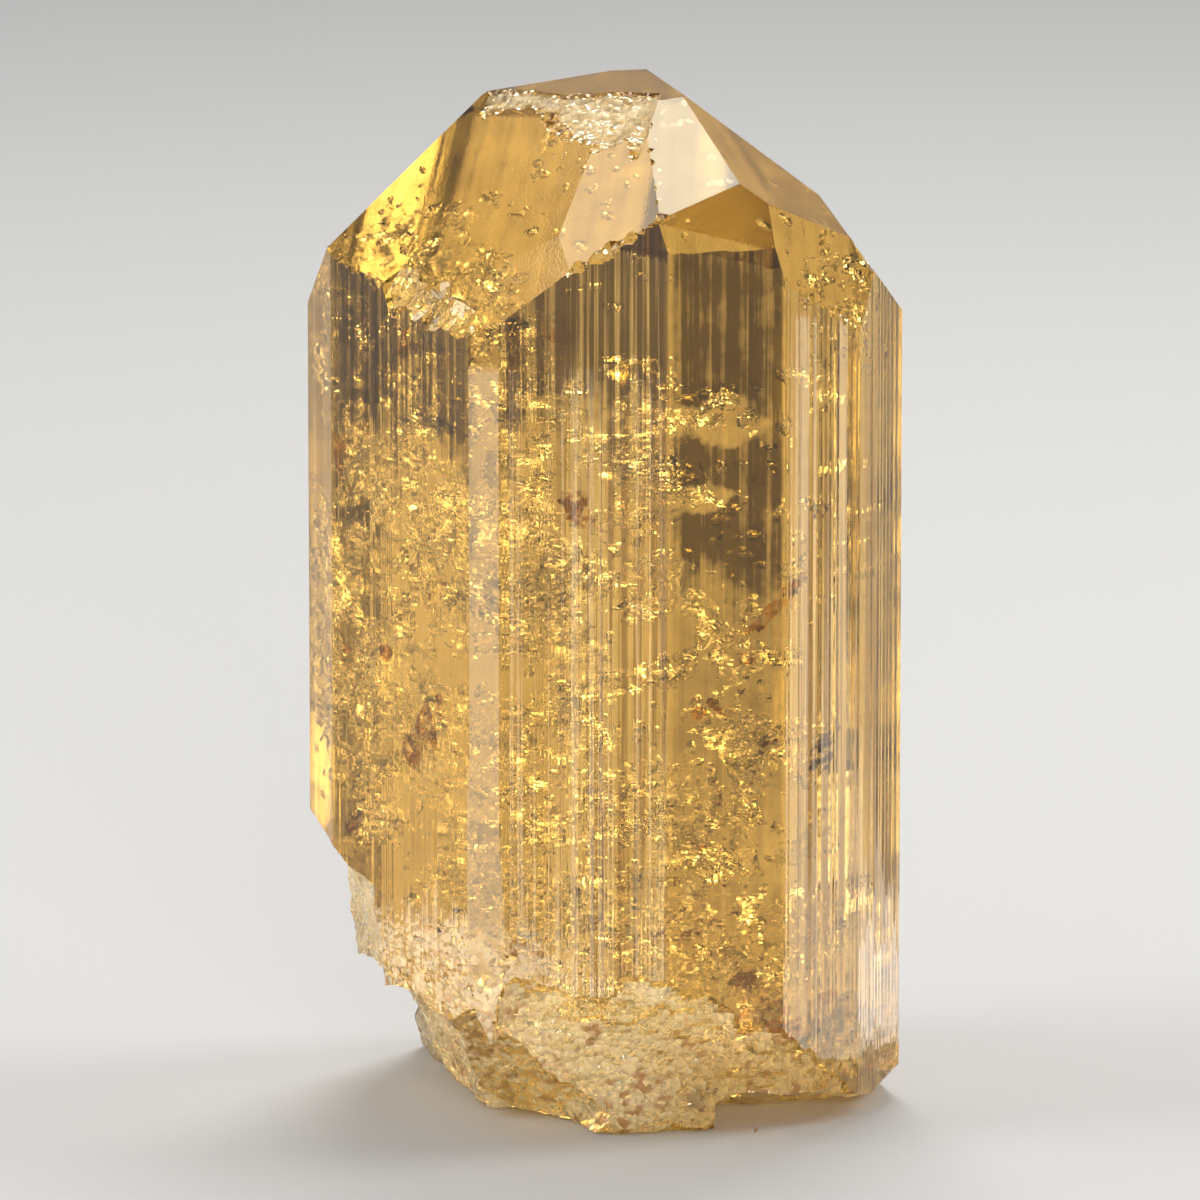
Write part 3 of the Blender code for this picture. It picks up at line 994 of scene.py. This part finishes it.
studio = {
    "floor": 60.0,  # metres across
    "gap": 0.1,  # clear of the crystal's flat foot, so that the two surfaces aren't in one place
    "paper": (0.42, 0.415, 0.405, 1.0),
    "lift": 0.5,  # of the panels off the floor
    "world": (0.40, 0.40, 0.403, 1.0),
    # place and aim in millimetres, width, height, radiant power in watts
    "lights": (
        ("topSoftbox", (-14.0, 50.0, 340.0), (0.0, 0.0, 40.0), 66.0, 66.0, 0.10),
        ("domeSoftbox", (-190.0, 60.0, 330.0), (0.0, 0.0, 40.0), 100.0, 100.0, 0.10),
        ("veilSoftbox", (30.0, 190.0, 330.0), (0.0, 0.0, 25.0), 180.0, 110.0, 1.0),
        ("leftSoftbox", (-330.0, -60.0, 190.0), (0.0, 0.0, 20.0), 150.0, 240.0, 0.80),
        ("rightSoftbox", (300.0, 60.0, 230.0), (0.0, 0.0, 22.0), 130.0, 200.0, 0.70),
        ("frontSoftbox", (70.0, -420.0, 120.0), (0.0, 0.0, 8.0), 170.0, 110.0, 1.20),
    ),
    # panels lying on the floor, facing up, unseen by the camera: degrees right of the front, nearest and
    # furthest distance in millimetres, width, radiant power in watts
    "panels": (
        ("leftPanel", -50.0, 24.0, 190.0, 60.0, 0.092),
        ("rightPanel", 90.0, 20.0, 200.0, 40.0, 0.053),
        ("leftGlint", -1.0, 24.0, 190.0, 6.0, 0.009),
        ("rightGlint", 14.0, 24.0, 190.0, 7.0, 0.0115),
    ),
}
camera = {
    "lens": 400.0,
    "sensor": 36.0,
    "distance": 0.6,  # metres, as is the aim
    "elevation": 12.0,
    "aim": (-0.0002, 0.0, 0.02264),
    "clip": (0.05, 100.0),
}
lightPaths = {
    "transmission_bounces": 10,
    "max_bounces": 10,
    "diffuse_bounces": 2,
    "transparent_max_bounces": 32,
    "use_light_tree": False,
}


def makeFloor():
    deselectAll()
    bpy.ops.mesh.primitive_plane_add(size=studio["floor"])
    floor = bpy.context.object
    floor.name = "floor"
    floor.location.z = -studio["gap"] * mm
    material, tree, surface, place = newMaterial("palePaper")
    grain = noiseOver(place, 900.0, Detail=3.0)
    setSockets(tree, surface, {
        "Base Color": studio["paper"],
        "Roughness": 0.85,
        "Normal": place.make("ShaderNodeBump", {}, {"Strength": 0.05, "Distance": 0.0001, "Height": grain}),
    })
    floor.data.materials.append(material)


def areaLight(name, width, height, power):
    lamp = bpy.data.lights.new(name, "AREA")
    lamp.shape = "RECTANGLE"
    lamp.size = width * mm
    lamp.size_y = height * mm
    lamp.energy = power
    light = bpy.data.objects.new(name, lamp)
    light.visible_camera = False
    bpy.context.scene.collection.objects.link(light)
    return light


def makeLights():
    world = bpy.data.worlds.new("studio")
    bpy.context.scene.world = world
    world.use_nodes = True
    world.node_tree.nodes["Background"].inputs["Color"].default_value = studio["world"]
    for name, place, aim, width, height, power in studio["lights"]:
        light = areaLight(name, width, height, power)
        light.location = Vector(place) * mm
        light.rotation_euler = (Vector(aim) - Vector(place)).to_track_quat("-Z", "Y").to_euler()
    for name, azimuth, near, far, width, power in studio["panels"]:
        light = areaLight(name, width, far - near, power)
        light.location = facing(azimuth, 90.0) * (near + far) / 2 * mm
        light.location.z += studio["lift"] * mm
        light.rotation_euler = (math.pi, 0.0, math.radians(azimuth))


def makeCamera():
    lens = bpy.data.cameras.new("camera")
    lens.lens = camera["lens"]
    lens.sensor_width = camera["sensor"]
    lens.clip_start, lens.clip_end = camera["clip"]
    view = bpy.data.objects.new("camera", lens)
    bpy.context.scene.collection.objects.link(view)
    back = facing(0.0, 90.0 - camera["elevation"])
    view.location = Vector(camera["aim"]) + back * camera["distance"]
    view.rotation_euler = (-back).to_track_quat("-Z", "Y").to_euler()
    bpy.context.scene.camera = view


def main():
    print("camera, floor and lights")
    makeCamera()
    makeFloor()
    makeLights()
    for name, value in lightPaths.items():
        setattr(bpy.context.scene.cycles, name, value)
    bpy.context.scene.view_settings.view_transform = "Standard"
    print("prism and top faces")
    crystal = makePrism()
    print("broken places")
    breakFoot(crystal)
    markFaces(crystal)
    crystal.data.materials.append(topazGlass())
    print("stains")
    finishPiece(makeStains(crystal), rust())
    print("cracks and bubbles")
    cracks = makeCracks(crystal)
    joinVoids(crystal, cracks, makeBubbles(crystal))
    finishPiece(crystal)
    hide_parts("crystal")
    print("triangles", sum(len(face.vertices) - 2 for face in crystal.data.polygons))


main()
